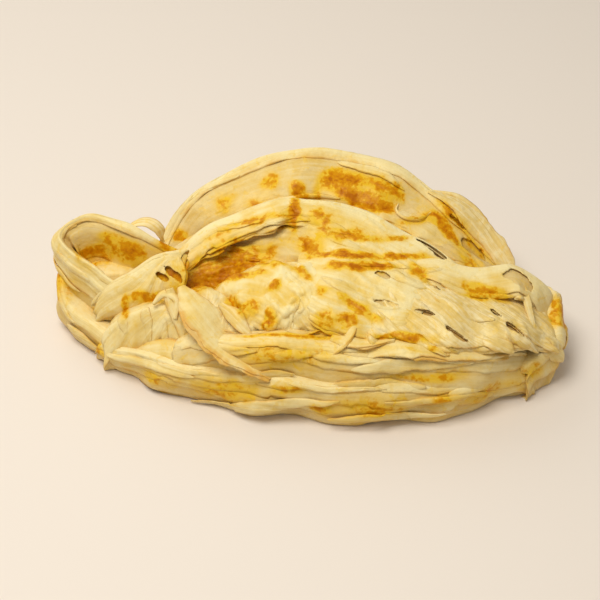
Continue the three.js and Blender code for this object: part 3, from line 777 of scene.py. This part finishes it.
@dataclass(frozen=True)
class FoldForm(Form):
    """One fold of the heap, made of its thin layers and torn scraps."""

    fold: Fold

    QUICK_CELL = 1.9  # how much coarser a quick mesh is
    LOWER_CELL = 1.35  # how much longer the cells of the lower layers are, down the sheet
    SCRAP_CELL = 0.8  # size of a scrap's cells, as a share of its fold's
    CREST_HIGHLIGHT_WIDTH = 5  # how far from the crest the painted highlight along it reaches, in millimetres
    END_FRAY = 3.2  # how far the two ends wander, in millimetres
    HEM_SWING = (4.5, 1.8)  # how far the back and the front hem wander, in millimetres
    FLARE_REACH = 2.4  # how far from its hem a layer flares, in millimetres
    EDGE_REACH = 1.3  # how far from its hem a layer has the colour of an edge, in millimetres
    CALMING = 0.12  # how much lower the creases of each further layer are
    FLOOR_STEP = 0.6  # how far one layer lies above the next on the floor, in millimetres
    FILM_LENGTH = 16  # how long the patches of single film are, in millimetres

    @cached_property
    def crest(self) -> Crest:
        """The line that the fold hangs over."""
        return Crest(self.fold.crest)

    @property
    def cell(self) -> float:
        """Size of the mesh cells, in millimetres."""
        return self.fold.cell * 1.0

    def surface(self, s: Array, far: Array) -> Array:
        """Smooth form of the sheet.

        Args:
            s: Distance along the crest, in millimetres.
            far: Distance from the crest, in millimetres, below 0 at the back.

        Returns:
            Places.
        """
        fold = self.fold
        u = np.clip(s / self.crest.length, 0, 1)
        size = 1 - (1 - fold.pinch[0]) * (1 - u) ** 3 - (1 - fold.pinch[1]) * u**3
        droop = (fold.droop[0] * (1 - u) ** 3 + fold.droop[1] * u**3) * step(8, 30, np.abs(far))
        level, fall, walked = (np.zeros(u.shape) for _ in range(3))
        for side, chosen in ((fold.back, far < 0), (fold.front, far >= 0)):
            part = np.where(chosen, np.abs(far) / side.length(), 0)
            level += chosen * bezier(0, side.round, side.reach + side.belly, side.reach, part) * size
            fall += chosen * bezier(0, 0, side.drop * HANG, side.drop, part) * size
            walked += part
        sign = np.where(far < 0, -1, 1)
        count, depth = fold.ripple
        wave = depth * walked * uneven_wave(count * (u + 0.08 * sign * walked))
        beyond = s - u * self.crest.length
        places = self.crest.at(u) + self.crest.run(u) * beyond[..., None]
        common = unit(self.crest.out(np.linspace(0, 1, 21)).mean(axis=0))
        out = unit(self.crest.out(u) * (1 - fold.steady) + common * fold.steady)
        places = places + out * (sign * level + wave)[..., None]
        for depth, inward in zip(fold.curl, (s, self.crest.length - s)):
            near = np.clip(1 - inward / (1.6 * depth), 0, 1)
            places[..., 2] -= depth * (1 - np.sqrt(1 - 0.98 * near**2))
        places[..., 2] += wave * 0.7 - fall - droop
        return places + self.dough.sag(places)

    def flow(self, s: Array, far: Array) -> tuple[Array, Array]:
        """Distances along and across the fold's creases, for places s along the crest and far from it."""
        creases = self.fold.creases
        if creases.gather is not None:
            ds, dw = s - creases.gather[0] * self.crest.length, far - creases.gather[1]
            return np.hypot(ds, dw), np.arctan2(dw, ds) * GATHER_RADIUS
        return turned(s, far, creases.turn) if creases.turn else (s, np.abs(far))

    def creased(self, s: Array, far: Array) -> tuple[Array, Array, Array, Array]:
        """What the creases do to the smooth form.

        Args:
            s: Distance along the crest, in millimetres.
            far: Distance from the crest, below 0 at the back.

        Returns:
            Places of the smooth form, directions that stand on it, height of the creases and their ridges.
        """
        places = self.surface(s, far)
        normal = unit(np.cross(np.gradient(places, axis=0), np.gradient(places, axis=1)))
        return places, normal, *self.dough.relief(self.fold.creases, *self.flow(s, far), self.seed)

    def masks(self, places: Array, s: Array, far: Array, ridge: Array) -> dict[Mask, Array]:
        """Values that every sheet of the fold carries.

        Args:
            places: Places of its corners, in millimetres.
            s: Their distance along the crest.
            far: Their distance from the crest, below 0 at the back.
            ridge: How much each of them stands up, from -1 to 1.

        Returns:
            Value of each corner by mask, for an upper layer away from its hem.
        """
        p, q = self.flow(s, far)
        bare = 0.5 + 0.5 * self.dough.tear.at(*(places[..., k] / self.FILM_LENGTH for k in range(3)))
        return mask_values(
            s.shape,
            toast=np.clip(self.toasting.level(places) * (0.85 + 0.35 * ridge), 0, 1),
            # painted shade for how low the fold lies in the heap
            inner=self.fold.inner,
            # painted highlight: paler on raised creases and along the crest
            ridge=0.5 + 0.5 * ridge + 0.5 * np.exp(-((far / self.CREST_HIGHLIGHT_WIDTH) ** 2)),
            thin=np.clip(self.fold.thin * (0.4 + 1.2 * bare), 0, 1),
            along=p,
            across=q + 50 * self.seed,
        )

    def hems(self, s: Array, index: int) -> tuple[Array, Array]:
        """Where the hems of one layer lie.

        Args:
            s: Distance along the crest, in millimetres.
            index: Number of the layer, 0 for the outermost.

        Returns:
            Distances of the back and front hems from the crest, in millimetres.
        """
        fold, hem = self.fold, self.dough.hem
        found = []
        sides = zip((fold.back, fold.front), fold.hems[index], self.HEM_SWING, (40, 0))
        for side, share, swing, turn in sides:
            key = self.seed * 13.7 + index * 3.1 + turn
            wander = swing * hem.at(s / 22, key, index) + 0.5 * hem.at(s / 6, key + 5, index)
            notch = max(fold.ragged - 1, 0) * 3.5 * step(0.3, 0.5, hem.at(s / 8, key + 11, index))
            found.append(np.maximum(side.length() * share + fold.ragged * wander - notch, 1))
        return found[0], found[1]

    def holes(self, s: Array, far: Array, index: int) -> Array | None:
        """Where the slits of one layer lie.

        Args:
            s: Distance along the crest, in millimetres.
            far: Distance from the crest, below 0 at the back.
            index: Number of the layer, 0 for the outermost.

        Returns:
            Values above 0 inside the slits, or None where the fold has none.
        """
        if not self.fold.slits:
            return None
        inside = np.full(s.shape, -1.0)
        for slit in (slit for slit in self.fold.slits if slit.layers > index):
            ds, dw = s - slit.place[0] * self.crest.length, far - slit.place[1]
            bent = ds + 0.6 * self.dough.hem.at(dw / 3, slit.place[0] * 90)
            long, wide = (run / size for run, size in zip(turned(bent, dw, -slit.turn), slit.size))
            if slit.size[0] < slit.size[1]:
                long, wide = wide, long
            frayed = 0.3 * self.dough.hem.at(ds / 2.6, dw / 2.6, slit.place[1])
            inside = np.maximum(inside, 1 - long**2 - np.abs(wide) + frayed)
        return inside

    def layer(self, index: int) -> bpy.types.Mesh:
        """One thin layer of the fold.

        Args:
            index: Number of the layer, 0 for the outermost.

        Returns:
            Its mesh.
        """
        fold, dough = self.fold, self.dough
        lowest_index = len(fold.hems) - 1
        across = round(self.crest.length / self.cell)
        span = fold.back.length() * fold.hems[index][0] + fold.front.length() * fold.hems[index][1]
        down = round(span / self.cell / (self.LOWER_CELL if index else 1.0))
        u, v = grid(across, down)
        s = u * self.crest.length
        back, front = self.hems(s, index)
        far = -back + (back + front) * v
        t = np.where(far < 0, -far / back, far / front)
        s = s + np.where(far > 0, t, 0) * (fold.slant[0] * (1 - u) + fold.slant[1] * u)
        places, normal, height, ridge = self.creased(s, far)
        gap = (BUNDLE - dough.SHEET) / max(lowest_index, 1)
        hem = np.where(far < 0, back - np.abs(far), front - np.abs(far))
        wander = 1.5 * dough.hem.at(s / 13, far / 40, index + self.seed) - 0.65
        flare = np.exp(-hem / self.FLARE_REACH) * wander
        flare = np.maximum(flare, -0.7 * gap * np.exp(-hem / 3)) if index < lowest_index else flare
        size = np.where(far < 0, fold.back.length(), fold.front.length())
        depth = index * gap * (1 - 0.55 * np.clip(np.abs(far) / size, 0, 1) ** 2)
        places = places + normal * (height * (1 - self.CALMING * index) + flare - depth)[..., None]
        ends = self.END_FRAY * (step(0.85, 1.0, u) - step(-0.15, 0.0, -u))
        places = places + self.crest.run(u) * (ends * dough.hem.at(far / 11, index, self.seed))[..., None]
        lowest = FLOOR_GAP + (lowest_index - index) * self.FLOOR_STEP
        sunk = np.minimum(places[..., 2] - lowest - 1, 0)
        places[..., 2] = np.where(sunk < 0, lowest + np.exp(sunk), places[..., 2])
        masks = self.masks(places, s, far, ridge)
        masks[Mask.EDGE] = np.exp(-hem / self.EDGE_REACH)
        # painted shade: the lower layers are darker, except near their hems
        layer_shade = index / max(lowest_index, 1) * (1 - step(0.55, 1.0, t))
        masks[Mask.DEPTH_SHADE] = np.maximum(layer_shade, fold.inner)
        return sheet_mesh(places, masks, self.holes(s, far, index))

    def scraps(self, scraps: Scraps | None, behind: bool) -> Iterator[bpy.types.Mesh]:
        """Torn partial layers that lie on one side of the fold.

        Args:
            scraps: Their sizes, or None where there are none.
            behind: Whether they lie on the fold's back.

        Yields:
            The mesh of each.
        """
        if scraps is None:
            return
        fold, dough = self.fold, self.dough
        draw = np.random.default_rng(scraps.seed)
        side, other = (fold.back, fold.front) if behind else (fold.front, fold.back)
        reach = side.length() * fold.hems[-1][0 if behind else 1]
        for index in range(scraps.count):
            length, width = draw.uniform(*scraps.length), draw.uniform(*scraps.width)
            turn = math.radians(scraps.turn + draw.normal(0, 9))
            cell = self.cell * self.SCRAP_CELL
            u, v = grid(round(length / cell), round(width / cell))
            half = 2 * v - 1
            key = 300 + index * 1.7 + self.seed * 9
            ragged = 1 + 0.3 * dough.hem.at(u * length / 7, key + np.sign(half) * 5)
            ragged = ragged + 0.1 * dough.hem.at(u * length / 2, key)
            b = width / 2 * (0.06 + 0.94 * np.sin(np.pi * u**0.8) ** 0.8) * half * ragged
            a = (u - 0.5) * length
            middle = (0.1 + 0.8 * (index + 0.5) / scraps.count) * self.crest.length
            s = middle + a * math.cos(turn) - b * math.sin(turn)
            far = draw.uniform(0.12, 0.8) * reach + a * math.sin(turn) + b * math.cos(turn)
            far = np.maximum(far, -other.length() * 0.5) * (-1 if behind else 1)
            places, normal, height, ridge = self.creased(s, far)
            normal = normal * np.where(normal[..., 2:] < -0.2, -1, 1)
            rim = np.maximum(np.abs(half) ** 4, np.maximum(step(0.8, 1.0, u), step(-0.2, 0.0, -u)))
            own = 0.3 * dough.crease.at(a / 20, b / 3, key)
            lift = 0.3 + rim * (1.4 * scraps.lift * dough.hem.at(a / 9, key, 3) - 0.45) + own
            places = places + normal * (height + lift)[..., None]
            places[..., 2] = np.maximum(places[..., 2], FLOOR_GAP + 1)
            masks = self.masks(places, s, far, ridge)
            masks[Mask.EDGE] = step(0.7, 1.0, np.abs(half)) * 0.8
            masks[Mask.THIN] = np.full(s.shape, min(fold.thin + draw.uniform(0, 0.4), 1))
            yield sheet_mesh(places, masks, self.holes(s, far, 0))

    def build(self) -> bpy.types.Object:
        """All the layers and scraps as one object."""
        parts = [self.layer(index) for index in range(len(self.fold.hems))]
        parts += self.scraps(self.fold.scraps, behind=False)
        parts += self.scraps(self.fold.back_scraps, behind=True)
        return finished(self.fold.name, parts, Dough.SHEET)


@dataclass(frozen=True)
class StripForm(Form):
    """One torn strip, made of its thin layers."""

    strip: Strip

    CELL = 0.5  # size of the mesh cells, in millimetres
    LAYER_GAP = 0.65  # distance from one layer to the next, in millimetres
    CREASES = Creases(0.4, 50, 3.5, shingle=0.25)

    def layer(self, path: Crest, index: int) -> bpy.types.Mesh:
        """One thin layer of the strip.

        Args:
            path: Line that the strip follows.
            index: Number of the layer, 0 for the top one.

        Returns:
            Its mesh.
        """
        strip, dough = self.strip, self.dough
        cell = self.CELL * 1
        u, v = grid(round(path.length / cell), round(strip.width / cell))
        s = u * path.length
        key = 71 + self.seed * 7.3 + index * 2.9
        side = path.out(u)
        over = np.cross(side, path.run(u))
        turn = np.radians(strip.twist[0] + (strip.twist[1] - strip.twist[0]) * u)[..., None]
        across_run = side * np.cos(turn) - over * np.sin(turn)
        normal = side * np.sin(turn) + over * np.cos(turn)
        half = (v - 0.5) * 2
        ragged = 1 + 0.3 * dough.hem.at(s / 8, key + np.sign(half) * 9) + 0.05 * dough.hem.at(s / 2, key + 3)
        end = np.where(u < 0.5, strip.taper[0], strip.taper[1])
        width = strip.width * (end + (1 - end) * np.sin(np.pi * u)) * (1 + 0.1 * index) * ragged
        level = half * width / 2
        height, ridge = dough.relief(self.CREASES, s, level, key)
        camber = strip.camber * (1 - half**2) + height - index * self.LAYER_GAP
        places = path.at(u) + across_run * level[..., None] + normal * camber[..., None]
        places = places + dough.sag(places)
        places[..., 2] = np.maximum(places[..., 2], FLOOR_GAP + 1)
        masks = mask_values(
            u.shape,
            toast=self.toasting.level(places) * strip.toast,
            edge=step(0.7, 1.0, np.abs(half)),
            # painted shade on the lower layers
            inner=0.3 * index,
            # painted highlight on the raised creases
            ridge=0.5 + 0.5 * ridge,
            thin=strip.thin,
            along=s,
            across=level + 40 * self.seed,
        )
        return sheet_mesh(places, masks)

    def build(self) -> bpy.types.Object:
        """All the layers as one object."""
        path = Crest(self.strip.path)
        parts = [self.layer(path, index) for index in range(self.strip.layers)]
        return finished(self.strip.name, parts, Dough.SHEET)


@dataclass(frozen=True)
class Core(Form):
    """The pressed middle of the heap, with the hollow scooped out of it."""

    CREASES = Creases(0.8, 60, 5)

    def mound(self, mound: Mound) -> bpy.types.Mesh:
        """One closed dome, its lower half pressed flat.

        Args:
            mound: Its sizes.

        Returns:
            Its mesh.
        """
        data, ball = primitive(bmesh.ops.create_uvsphere, u_segments=160, v_segments=80, radius=1.0)
        level = np.hypot(ball[:, 0], ball[:, 1])
        angle = np.arctan2(ball[:, 1], ball[:, 0])
        power = 2 / mound.squareness
        bulge = 1 + mound.lump_depth / mound.foot[1] * np.sin(mound.lumps * angle)
        places = np.zeros(ball.shape)
        for axis, wave in ((0, np.cos(angle)), (1, np.sin(angle))):
            spread = np.sign(wave) * np.abs(wave) ** power * level**power
            places[:, axis] = mound.centre[axis] + mound.foot[axis] * bulge * spread
        places[:, 2] = np.maximum(mound.top * ball[:, 2], FLOOR_GAP)
        x, y = ((places[:, k] - HOLLOW_CENTRE[k]) / HOLLOW_RADII[k] for k in (0, 1))
        bowl = HOLLOW_CENTRE[2] - HOLLOW_RADII[2] * np.sqrt(np.clip(1 - x * x - y * y, 0, 1))
        places[:, 2] = np.where(x * x + y * y < 1, np.minimum(places[:, 2], bowl), places[:, 2])
        round_run = angle * mound.foot[1]
        upright = places[:, 2] + 0.3 * places[:, 1]
        height, ridge = self.dough.relief(self.CREASES, round_run, upright, self.seed)
        places[:, 2] += height * step(1, 8, places[:, 2])
        masks = mask_values(
            angle.shape,
            toast=self.toasting.level(places),
            # painted shade on the dome
            inner=mound.inner,
            # painted highlight on the raised creases
            ridge=0.5 + 0.5 * ridge,
            along=round_run,
            across=places[:, 2],
        )
        dress(data, places, masks)
        return data

    def build(self) -> bpy.types.Object:
        """Both mounds as one object."""
        return finished("pressed_core", [self.mound(mound) for mound in MOUNDS])


class Studio:
    """Floor, lights and camera."""

    ELEVATION = math.radians(40)
    DISTANCE = 0.683
    LENS = 100.0
    TARGET = Vector((-MIDDLE[0] * MM, -MIDDLE[1] * MM, 0.038))
    WARM_WHITE = (1.0, 0.97, 0.93)
    FLOOR_COLOUR = (0.8, 0.72, 0.62, 1)
    SURROUNDING = 0.375
    LIGHTS = (
        ("key_light", (-0.22, -0.2, 0.88), 0.45, 5.95),
        ("back_light", (-0.5, 0.6, 0.6), 0.8, 2.25),
    )

    def camera(self) -> None:
        """Place the camera at the viewing angle of the reference picture."""
        data = bpy.data.cameras.new("camera")
        data.lens = self.LENS
        data.sensor_width = 36
        data.clip_start = 0.01
        camera = bpy.data.objects.new("camera", data)
        bpy.context.scene.collection.objects.link(camera)
        back = Vector((0, -math.cos(self.ELEVATION), math.sin(self.ELEVATION)))
        camera.location = self.TARGET + back * self.DISTANCE
        camera.rotation_euler = (-back).to_track_quat("-Z", "Y").to_euler()
        bpy.context.scene.camera = camera

    def lights(self) -> None:
        """Hang two soft lights and set an even pale surrounding."""
        for name, place, size, power in self.LIGHTS:
            data = bpy.data.lights.new(name, "AREA")
            data.size = size
            data.energy = power
            data.color = self.WARM_WHITE
            light = bpy.data.objects.new(name, data)
            light.location = place
            light.rotation_euler = Vector(place).to_track_quat("Z", "Y").to_euler()
            bpy.context.scene.collection.objects.link(light)
        world = bpy.data.worlds.new("surrounding")
        world.use_nodes = True
        backdrop = world.node_tree.nodes["Background"]
        backdrop.inputs["Color"].default_value = (*self.WARM_WHITE, 1)
        backdrop.inputs["Strength"].default_value = self.SURROUNDING
        bpy.context.scene.world = world
        bpy.context.scene.view_settings.view_transform = "Standard"

    def floor(self) -> None:
        """Lay a plain pale floor."""
        square, _ = primitive(bmesh.ops.create_grid, x_segments=1, y_segments=1, size=3.0)
        floor = finished("floor", [square])
        material = bpy.data.materials.new("pale_floor")
        material.use_nodes = True
        shader = material.node_tree.nodes["Principled BSDF"]
        shader.inputs["Base Color"].default_value = self.FLOOR_COLOUR
        shader.inputs["Roughness"].default_value = 0.7
        floor.data.materials.append(material)


def to_linear(value: int) -> float:
    """Linear light of one screen value from 0 to 255."""
    share = value / 255
    return share / 12.92 if share <= 0.04045 else ((share + 0.055) / 1.055) ** 2.4


def screen(red: int, green: int, blue: int) -> tuple[float, float, float, float]:
    """Linear colour of a screen colour."""
    return (to_linear(red), to_linear(green), to_linear(blue), 1.0)


CREAM = screen(241, 223, 164)
BUTTER = screen(227, 189, 84)
# darker tone of a thin film, partly painted shade seen through it
SHADED_FILM = screen(221, 186, 100)
FIBRE = screen(241, 221, 168)
HEM = screen(218, 160, 64)
# tone of the painted shade on dough that lies low in the heap
SHADE_TONE = screen(184, 132, 34)
GOLD = screen(231, 186, 40)
# colours of the browned spots, also used for the marks of painted shade
BROWN_AND_SHADE_STOPS = (
    (0.0, screen(226, 176, 26)),
    (0.35, screen(219, 158, 10)),
    (0.7, screen(204, 132, 4)),
    (1.0, screen(180, 102, 2)),
)


class NodeWriter:
    """Adds nodes to a tree and joins them, each call giving the socket that comes out."""

    def __init__(self, tree: bpy.types.NodeTree) -> None:
        """Take the tree that the nodes are added to."""
        self.tree = tree

    def add(self, kind: str, output: int | str, inputs: dict, **settings: object) -> Socket:
        """Add a node.

        Args:
            kind: End of its type's name.
            output: Name or number of the output that is wanted.
            inputs: Socket or constant by the name or the number of the input.
            settings: The node's own settings.

        Returns:
            The wanted output.
        """
        node = self.tree.nodes.new(f"ShaderNode{kind}")
        for name, value in settings.items():
            setattr(node, name, value)
        for name, value in inputs.items():
            if isinstance(value, Socket):
                self.tree.links.new(value, node.inputs[name])
            else:
                node.inputs[name].default_value = value
        return node.outputs[output]

    def attribute(self, mask: Mask) -> Socket:
        """The value that the mesh carries for a mask."""
        return self.add("Attribute", "Fac", {}, attribute_name=mask.value)

    def place(self) -> Socket:
        """Place on the object, in millimetres."""
        given = self.add("TexCoord", "Object", {})
        return self.add("VectorMath", 0, {0: given, "Scale": 1 / MM}, operation="SCALE")

    def flow(self, along: float, across: float) -> Socket:
        """Place on a sheet along and across its creases, with so many cells to the millimetre each way."""
        level = {"X": self.weighted((self.attribute(Mask.ALONG), along)),
                 "Y": self.weighted((self.attribute(Mask.ACROSS), across))}
        return self.add("CombineXYZ", 0, level)

    def math(self, operation: str, first: object, second: object = 0.0, clamp: bool = False) -> Socket:
        """One step of arithmetic."""
        return self.add("Math", 0, {0: first, 1: second}, operation=operation, use_clamp=clamp)

    def weighted(self, *parts: tuple[object, float]) -> Socket:
        """Sum of values, each times its weight."""
        first, *others = (self.math("MULTIPLY", value, weight) for value, weight in parts)
        for other in others:
            first = self.math("ADD", first, other)
        return first

    def spread(self, value: object, low: float, high: float, start: float = 0.0, end: float = 1.0) -> Socket:
        """Smooth rise from start to end while a value goes from low to high."""
        inputs = {"Value": value, "From Min": low, "From Max": high, "To Min": start, "To Max": end}
        return self.add("MapRange", "Result", inputs, interpolation_type="SMOOTHSTEP")

    def noise(self, vector: object, scale: float, detail: float, bend: float) -> Socket:
        """Cloudy values about one half."""
        inputs = {"Vector": vector, "Scale": scale, "Detail": detail, "Distortion": bend}
        return self.add("TexNoise", "Fac", inputs)

    def mix(self, factor: object, first: object, second: object) -> Socket:
        """A colour between two colours."""
        return self.add("Mix", 2, {0: factor, 6: first, 7: second}, data_type="RGBA")

    def ramp(self, value: object, stops: tuple[tuple[float, tuple], ...]) -> Socket:
        """A colour picked along a row of colours."""
        colour = self.add("ValToRGB", "Color", {"Fac": value})
        elements = colour.node.color_ramp.elements
        for element, (position, shade) in zip(elements, (stops[0], stops[-1])):
            element.position, element.color = position, shade
        for position, shade in stops[1:-1]:
            elements.new(position).color = shade
        return colour

    def bump(self, height: object, depth: float) -> Socket:
        """A normal bent by a height, whose full range is the depth in millimetres."""
        return self.add("Bump", "Normal", {"Strength": 1.0, "Distance": depth * MM, "Height": height})


class DoughFinish:
    """The dough's finish: mottled cream and butter yellow, browned by the masks, with a faint sheen of fat.

    Some of the masks paint highlight where the sheets stand up and shade where they lie low in the heap. The
    patterns give a scale, a detail and a distortion, and the flows their cells to the millimetre. The ranges
    give the bounds between which a value counts, and some of them what it becomes there.
    """

    CLOUD = (0.09, 3.0, 0.6)
    BLOTCH = (0.2, 2.0, 0.6)
    SPECKLE = (0.6, 2.0, 0.4)
    FLECKS = (0.28, 3.0, 0.8)
    PORES = (0.35, 3.0, 0.2)
    STREAK_FLOW = (0.035, 0.5)
    THREAD_FLOW = (0.06, 1.1)
    BUTTER_RANGE = (0.4, 0.98)
    FIBRE_RANGE = (0.42, 0.62)
    HEM_RANGE = (0.38, 0.62, 0.1, 0.8)
    UNEVEN_RANGE = (0.05, 0.4)
    FLECK_RANGE = (0.54, 0.72, 0, 0.4)
    GILDED_RANGE = (0.02, 0.4, 0, 0.92)
    SPOT_RANGE = (0.22, 0.52)
    GRAIN_DEPTH = 0.45  # in millimetres
    SHADER = {
        "Roughness": 0.34,
        "Specular IOR Level": 0.22,
        "Specular Tint": (1.0, 0.86, 0.4, 1.0),
        "Subsurface Weight": 0.12,
        "Subsurface Radius": (0.8, 0.85, 1.0),
        "Subsurface Scale": 0.001,
    }

    def __init__(self) -> None:
        """Make the material and the patterns that its steps share."""
        self.material = bpy.data.materials.new("fried_dough")
        self.material.use_nodes = True
        self.write = NodeWriter(self.material.node_tree)
        self.place = self.write.place()
        self.streak = self.write.noise(self.write.flow(*self.STREAK_FLOW), 1.0, 3.0, 0.3)
        self.cloud = self.write.noise(self.place, *self.CLOUD)
        self.blotch = self.write.noise(self.place, *self.BLOTCH)

    def pale(self) -> Socket:
        """Colour of unbrowned dough, with its thin films, its hems and painted shade low in the heap."""
        write = self.write
        # painted highlight: less butter yellow, so paler, where the ridge value is high
        butter = write.weighted(
            (self.cloud, 0.9), (self.streak, 0.5), (self.blotch, 0.3), (write.attribute(Mask.RIDGE_HIGHLIGHT), -0.4))
        colour = write.mix(write.spread(butter, *self.BUTTER_RANGE), CREAM, BUTTER)
        threads = write.noise(write.flow(*self.THREAD_FLOW), 1.0, 2.0, 0.3)
        fibre = write.spread(write.weighted((threads, 0.5), (self.blotch, 0.5)), *self.FIBRE_RANGE)
        # thin films take the film tone, whose darker part is painted shade seen through them
        thin = write.weighted((write.attribute(Mask.THIN), 0.75))
        colour = write.mix(thin, colour, write.mix(fibre, SHADED_FILM, FIBRE))
        hem = write.spread(self.cloud, *self.HEM_RANGE)
        colour = write.mix(write.math("MULTIPLY", write.attribute(Mask.EDGE), hem), colour, HEM)
        # painted shade low in the heap
        return write.mix(write.weighted((write.attribute(Mask.DEPTH_SHADE), 0.6)), colour, SHADE_TONE)

    def browned(self, pale: Socket) -> Socket:
        """Colour of the dough with its golden rims and flecks, its browned spots and its spots of painted
        shade.

        Args:
            pale: Colour of the dough before it is browned.

        Returns:
            The whole colour.
        """
        write = self.write
        toast = write.attribute(Mask.BROWN_AND_SHADE)
        speckle = write.noise(self.place, *self.SPECKLE)
        uneven = write.math("SUBTRACT", write.weighted((self.blotch, 1.5), (speckle, 1.0)), 1.3)
        uneven = write.math("MULTIPLY", uneven, write.spread(toast, *self.UNEVEN_RANGE))
        spots = write.math("ADD", toast, uneven, clamp=True)
        flecks = write.spread(write.noise(self.place, *self.FLECKS), *self.FLECK_RANGE)
        gilded = write.math("ADD", write.spread(toast, *self.GILDED_RANGE), flecks, clamp=True)
        colour = write.mix(gilded, pale, GOLD)
        return write.mix(write.spread(spots, *self.SPOT_RANGE), colour, write.ramp(spots, BROWN_AND_SHADE_STOPS))

    def build(self) -> bpy.types.Material:
        """The material."""
        shader = self.material.node_tree.nodes["Principled BSDF"]
        link = self.material.node_tree.links.new
        link(self.browned(self.pale()), shader.inputs["Base Color"])
        pores = self.write.noise(self.place, *self.PORES)
        grain = self.write.weighted((self.streak, 0.4), (pores, 1.0))
        link(self.write.bump(grain, self.GRAIN_DEPTH), shader.inputs["Normal"])
        for name, value in self.SHADER.items():
            shader.inputs[name].default_value = value
        return self.material


def main() -> None:
    """Build the studio and the bread."""
    studio = Studio()
    studio.camera()
    studio.lights()
    studio.floor()
    dough = Dough(DOUGH_SEED)
    toasting = BrowningAndShade(BROWN_AND_SHADE_MARKS, MARK_SEED)
    material = DoughFinish().build()
    forms: list[Form] = [Core(dough, toasting, CORE_SEED)]
    forms += [FoldForm(dough, toasting, seed, fold) for seed, fold in enumerate(FOLDS)]
    forms += [StripForm(dough, toasting, seed, strip) for seed, strip in enumerate(STRIPS)]
    for form in forms:
        piece = form.build()
        piece.data.materials.append(material)
        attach(piece, "root")
        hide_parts(NODE)
        log.info("made %s, %d faces", piece.name, len(piece.data.polygons))


if __name__ == "__main__":
    main()
